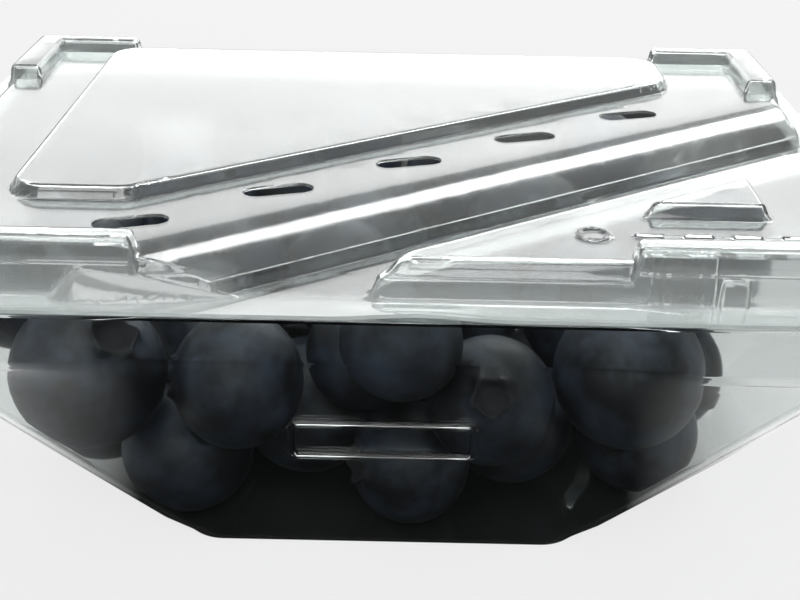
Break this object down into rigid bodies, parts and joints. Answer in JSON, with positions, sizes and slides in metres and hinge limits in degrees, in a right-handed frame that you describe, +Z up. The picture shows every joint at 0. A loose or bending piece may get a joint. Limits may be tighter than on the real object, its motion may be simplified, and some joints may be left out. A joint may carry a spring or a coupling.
{
  "type": "plastic clamshell pack",
  "caption": "Clear plastic clamshell pack, hinged along its rear edge, with a raised vented lid, filled with loose blue berries.",
  "frame": {"origin": "middle of the tray's flat underside", "axes": "+X along the long front flange, +Y from the front towards the hinge, +Z up"},
  "size_m": [0.119, 0.0931, 0.0434],
  "materials": {
    "clear_sheet": "clear thermoformed PET sheet, glossy",
    "berry_skin": "dark blue fruit skin with a pale waxy bloom"
  },
  "bodies": {
    "tray": {"tray": "clear_sheet", "berry_01": "berry_skin", "berry_02": "berry_skin", "berry_03": "berry_skin", "berry_04": "berry_skin", "berry_05": "berry_skin", "berry_06": "berry_skin", "berry_07": "berry_skin", "berry_08": "berry_skin", "berry_09": "berry_skin", "berry_10": "berry_skin", "berry_11": "berry_skin", "berry_12": "berry_skin", "berry_13": "berry_skin", "berry_14": "berry_skin", "berry_15": "berry_skin", "berry_16": "berry_skin", "berry_17": "berry_skin", "berry_18": "berry_skin", "berry_19": "berry_skin", "berry_20": "berry_skin", "berry_21": "berry_skin", "berry_22": "berry_skin", "berry_23": "berry_skin", "berry_24": "berry_skin", "berry_25": "berry_skin", "berry_26": "berry_skin", "berry_27": "berry_skin", "berry_28": "berry_skin", "berry_29": "berry_skin", "berry_30": "berry_skin", "berry_31": "berry_skin", "berry_32": "berry_skin", "berry_33": "berry_skin", "berry_34": "berry_skin", "berry_35": "berry_skin", "berry_36": "berry_skin", "berry_37": "berry_skin", "berry_38": "berry_skin", "berry_39": "berry_skin", "berry_40": "berry_skin", "berry_41": "berry_skin", "berry_42": "berry_skin", "berry_43": "berry_skin", "berry_44": "berry_skin"},
    "lid": {"lid": "clear_sheet"}
  },
  "joints": [
    {"name": "lid_hinge", "type": "hinge", "parent": "tray", "child": "lid", "pos_m": [0, 0.0476, 0.03705], "axis": [-1, 0, 0], "range_deg": [0, 180]}
  ]
}
